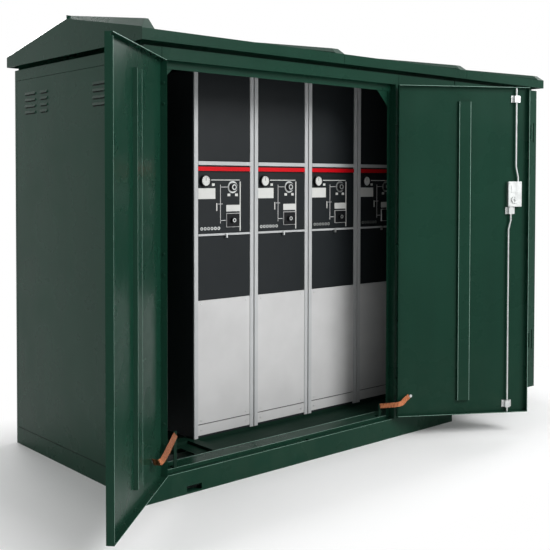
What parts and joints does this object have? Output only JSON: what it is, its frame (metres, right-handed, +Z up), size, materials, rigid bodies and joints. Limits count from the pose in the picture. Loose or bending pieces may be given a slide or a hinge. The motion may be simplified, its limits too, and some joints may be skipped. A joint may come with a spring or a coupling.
{
  "type": "ring main unit",
  "caption": "Outdoor sheet-steel kiosk with a ribbed gable roof and open double doors in front of a row of switchgear cubicles with gauges.",
  "frame": {"origin": "on the ground at the middle of the main base frame's four anchor bolts", "axes": "+X along the front to the right, +Y from the front to the back, +Z up"},
  "size_m": [3.3481, 1.7834, 2.119],
  "materials": {
    "kiosk_green": "semi-gloss dark green paint on sheet steel, lightly dusty",
    "inner_green": "satin dark green paint, dirty underfoot",
    "gear_charcoal": "fine-textured charcoal powder coat",
    "gear_grey": "smooth light grey powder coat",
    "trim_metal": "pale satin aluminium trim",
    "zinc": "zinc-plated steel, dull",
    "band_red": "smooth red band",
    "gauge": "white dial in a dark rim",
    "operator_black": "dark moulded plastic",
    "copper_braid": "bare braided copper"
  },
  "bodies": {
    "kiosk": {"switchgear_rails": "inner_green", "floor_cross_beam": "inner_green", "floor_plate": "inner_green", "cable_floor": "inner_green", "annex_floor": "inner_green", "strap_brackets": "inner_green", "plinth_front": "kiosk_green", "plinth_back": "kiosk_green", "plinth_ends": "kiosk_green", "annex_skids": "kiosk_green", "left_wall": "kiosk_green", "right_wall": "kiosk_green", "back_wall": "kiosk_green", "back_corner_posts": "kiosk_green", "left_jamb": "kiosk_green", "front_panel": "kiosk_green", "door_header": "kiosk_green", "door_sill": "kiosk_green", "inner_header": "kiosk_green", "corner_gussets": "kiosk_green", "side_rails": "kiosk_green", "back_rail": "kiosk_green", "anchor_plates": "kiosk_green", "annex_rails": "kiosk_green", "annex_jambs": "kiosk_green", "roof_left": "kiosk_green", "roof_middle": "kiosk_green", "roof_right": "kiosk_green", "gable_ends": "kiosk_green", "roof_caps": "kiosk_green", "door_hinges": "kiosk_green", "left_earth_strap": "copper_braid", "right_earth_strap": "copper_braid", "cubicle_housings": "gear_charcoal", "blank_panels": "gear_charcoal", "control_panels": "gear_charcoal", "cable_covers": "gear_grey", "kick_plates": "gear_grey", "panel_trims": "trim_metal", "panel_rails": "trim_metal", "fascia_bands": "band_red", "pressure_gauges": "gauge", "switch_operators": "operator_black"},
    "left_leaf": {"left_door": "kiosk_green", "left_door_stiffener": "kiosk_green"},
    "right_leaf": {"right_door": "kiosk_green", "right_door_stiffener": "kiosk_green", "lock_case": "zinc", "rod_guides": "zinc"},
    "lock_spindle": {"lock_handle": "zinc"},
    "upper_bolt": {"upper_rod": "zinc"},
    "lower_bolt": {"lower_rod": "zinc"},
    "annex_leaf": {"annex_door": "kiosk_green"}
  },
  "joints": [
    {"name": "left_door_hinge", "type": "hinge", "parent": "kiosk", "child": "left_leaf", "pos_m": [-0.953, -0.621, 0.9865], "axis": [0, 0, 1], "range_deg": [0, 138], "deforming": ["left_earth_strap"]},
    {"name": "right_door_hinge", "type": "hinge", "parent": "kiosk", "child": "right_leaf", "pos_m": [0.525, -0.621, 0.9865], "axis": [0, 0, -1], "range_deg": [0, 148], "deforming": ["right_earth_strap"]},
    {"name": "side_door_hinge", "type": "hinge", "parent": "kiosk", "child": "annex_leaf", "pos_m": [1.755, -0.621, 1], "axis": [0, 0, 1], "range_deg": [0, 110]},
    {"name": "lock_turn", "type": "hinge", "parent": "right_leaf", "child": "lock_spindle", "pos_m": [1.06924, -0.97287, 1.262], "axis": [-0.5299, -0.848, 0], "range_deg": [0, 90]},
    {"name": "upper_rod_slide", "type": "slide", "parent": "right_leaf", "child": "upper_bolt", "axis": [0, 0, 1], "range_m": [0, 0.02]},
    {"name": "lower_rod_slide", "type": "slide", "parent": "right_leaf", "child": "lower_bolt", "axis": [0, 0, -1], "range_m": [0, 0.02]}
  ],
  "couplings": [
    {"joint": "upper_rod_slide", "follows": "lock_turn", "m_per_rad": 0.012732},
    {"joint": "lower_rod_slide", "follows": "lock_turn", "m_per_rad": 0.012732}
  ]
}
